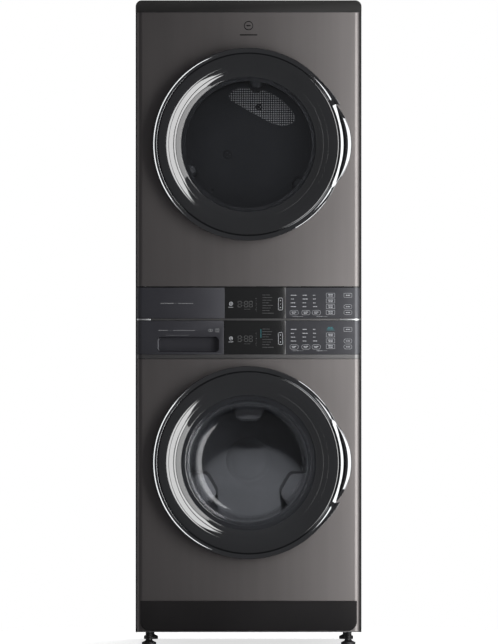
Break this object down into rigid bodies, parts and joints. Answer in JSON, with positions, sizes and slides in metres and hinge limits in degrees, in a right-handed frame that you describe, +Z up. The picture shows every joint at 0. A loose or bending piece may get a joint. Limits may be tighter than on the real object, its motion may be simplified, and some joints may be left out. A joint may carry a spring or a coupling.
{
  "type": "washer dryer stack",
  "caption": "Full-size laundry tower: front-loading washer below, vented dryer above and a console between them, in one cabinet, with swinging doors and a detergent drawer.",
  "frame": {"origin": "on the floor, under the middle of the footprint", "axes": "+X to the viewer's right, +Y from the front to the back, +Z up"},
  "size_m": [0.686, 0.813, 1.961],
  "materials": {
    "titanium_steel": "dark titanium-grey steel with a fine vertical brush",
    "black_sheet": "satin black paint",
    "zinc_sheet": "bare zinc-coated sheet",
    "black_plastic": "fine-grained black",
    "grey_plastic": "plain dark grey",
    "console_plastic": "dark metallic grey, clear coated",
    "console_metal": "dark brushed trim",
    "black_glass": "deep gloss black",
    "chrome": "dark mirror chrome",
    "gloss_black": "gloss black",
    "door_glass": "smoked grey, clear",
    "rubber": "matt grey",
    "stainless": "bright stainless",
    "cast_iron": "rough grey",
    "aluminium": "cast, satin"
  },
  "bodies": {
    "cabinet": {"base_frame": "zinc_sheet", "left_side_panel": "black_sheet", "right_side_panel": "black_sheet", "rear_panel": "zinc_sheet", "top_cover": "black_plastic", "washer_front_panel": "titanium_steel", "dryer_front_panel": "titanium_steel", "toe_panel": "black_plastic", "console_frame": "console_metal", "dryer_fascia_plate": "console_plastic", "dryer_display_window": "black_glass", "dryer_keypad": "console_plastic", "washer_display_window": "black_glass", "washer_keypad": "console_plastic", "dispenser_housing": "grey_plastic", "control_board": "black_plastic", "washer_hinge_bracket": "cast_iron", "dryer_hinge_bracket": "cast_iron", "tub_spring_left": "zinc_sheet", "tub_spring_right": "zinc_sheet", "damper_left": "black_plastic", "damper_right": "black_plastic", "door_boot": "rubber", "drain_pump": "black_plastic", "inlet_valve": "black_plastic", "dryer_front_bulkhead": "zinc_sheet", "dryer_rear_bulkhead": "zinc_sheet", "heater_box": "zinc_sheet", "dryer_belt": "rubber", "blower_housing": "black_plastic", "exhaust_duct": "zinc_sheet", "dryer_motor": "aluminium", "dryer_deck": "zinc_sheet"},
    "foot_front_left": {"foot_front_left": "black_plastic"},
    "foot_front_right": {"foot_front_right": "black_plastic"},
    "foot_rear_left": {"foot_rear_left": "black_plastic"},
    "foot_rear_right": {"foot_rear_right": "black_plastic"},
    "washer_door": {"washer_door_trim": "chrome", "washer_door_bezel": "gloss_black", "washer_door_back": "grey_plastic", "washer_door_glass": "door_glass"},
    "dryer_door": {"dryer_door_trim": "chrome", "dryer_door_bezel": "gloss_black", "dryer_door_back": "grey_plastic", "dryer_door_glass": "door_glass"},
    "drawer": {"drawer_front": "console_plastic", "drawer_tray": "grey_plastic"},
    "lint_filter": {"lint_filter": "grey_plastic"},
    "tub": {"washer_tub": "grey_plastic", "tub_counterweight": "cast_iron", "washer_motor": "aluminium", "washer_belt": "rubber"},
    "washer_drum": {"washer_drum": "stainless", "drum_pulley": "aluminium"},
    "washer_motor_pulley": {"washer_motor_pulley": "aluminium"},
    "dryer_drum": {"dryer_drum": "stainless", "dryer_vane_1": "grey_plastic", "dryer_vane_2": "grey_plastic", "dryer_vane_3": "grey_plastic"},
    "dryer_motor_shaft": {"dryer_motor_shaft": "aluminium"}
  },
  "joints": [
    {"name": "foot_front_left_screw", "type": "slide", "parent": "cabinet", "child": "foot_front_left", "axis": [0, 0, -1], "range_m": [-0.022, 0.012]},
    {"name": "foot_front_right_screw", "type": "slide", "parent": "cabinet", "child": "foot_front_right", "axis": [0, 0, -1], "range_m": [-0.022, 0.012]},
    {"name": "foot_rear_left_screw", "type": "slide", "parent": "cabinet", "child": "foot_rear_left", "axis": [0, 0, -1], "range_m": [-0.022, 0.012]},
    {"name": "foot_rear_right_screw", "type": "slide", "parent": "cabinet", "child": "foot_rear_right", "axis": [0, 0, -1], "range_m": [-0.022, 0.012]},
    {"name": "washer_door_hinge", "type": "hinge", "parent": "cabinet", "child": "washer_door", "pos_m": [-0.284, -0.377, 0.557], "axis": [0, 0, -1], "range_deg": [0, 130]},
    {"name": "dryer_door_hinge", "type": "hinge", "parent": "cabinet", "child": "dryer_door", "pos_m": [-0.284, -0.377, 1.523], "axis": [0, 0, -1], "range_deg": [0, 130]},
    {"name": "drawer_slide", "type": "slide", "parent": "cabinet", "child": "drawer", "axis": [0, -1, 0], "range_m": [0, 0.26]},
    {"name": "lint_filter_lift", "type": "slide", "parent": "cabinet", "child": "lint_filter", "axis": [0, 0, 1], "range_m": [0, 0.12]},
    {"name": "tub_bounce", "type": "slide", "parent": "cabinet", "child": "tub", "axis": [0, 0, 1], "range_m": [-0.008, 0.008], "stiffness_N_per_m": 24000, "springref_m": 0.01937, "deforming": ["tub_spring_left", "tub_spring_right", "damper_left", "damper_right", "door_boot"]},
    {"name": "washer_drum_spin", "type": "hinge", "parent": "tub", "child": "washer_drum", "pos_m": [0, 0, 0.557], "axis": [0, 1, 0], "continuous": true},
    {"name": "washer_motor_spin", "type": "hinge", "parent": "tub", "child": "washer_motor_pulley", "pos_m": [0, 0, 0.185], "axis": [0, 1, 0], "continuous": true},
    {"name": "dryer_drum_spin", "type": "hinge", "parent": "cabinet", "child": "dryer_drum", "pos_m": [0, 0, 1.523], "axis": [0, 1, 0], "continuous": true},
    {"name": "dryer_motor_spin", "type": "hinge", "parent": "cabinet", "child": "dryer_motor_shaft", "pos_m": [0.11, 0, 1.1], "axis": [0, 1, 0], "continuous": true}
  ],
  "couplings": [
    {"joint": "washer_motor_spin", "follows": "washer_drum_spin", "ratio": 14},
    {"joint": "dryer_motor_spin", "follows": "dryer_drum_spin", "ratio": 22.143}
  ]
}
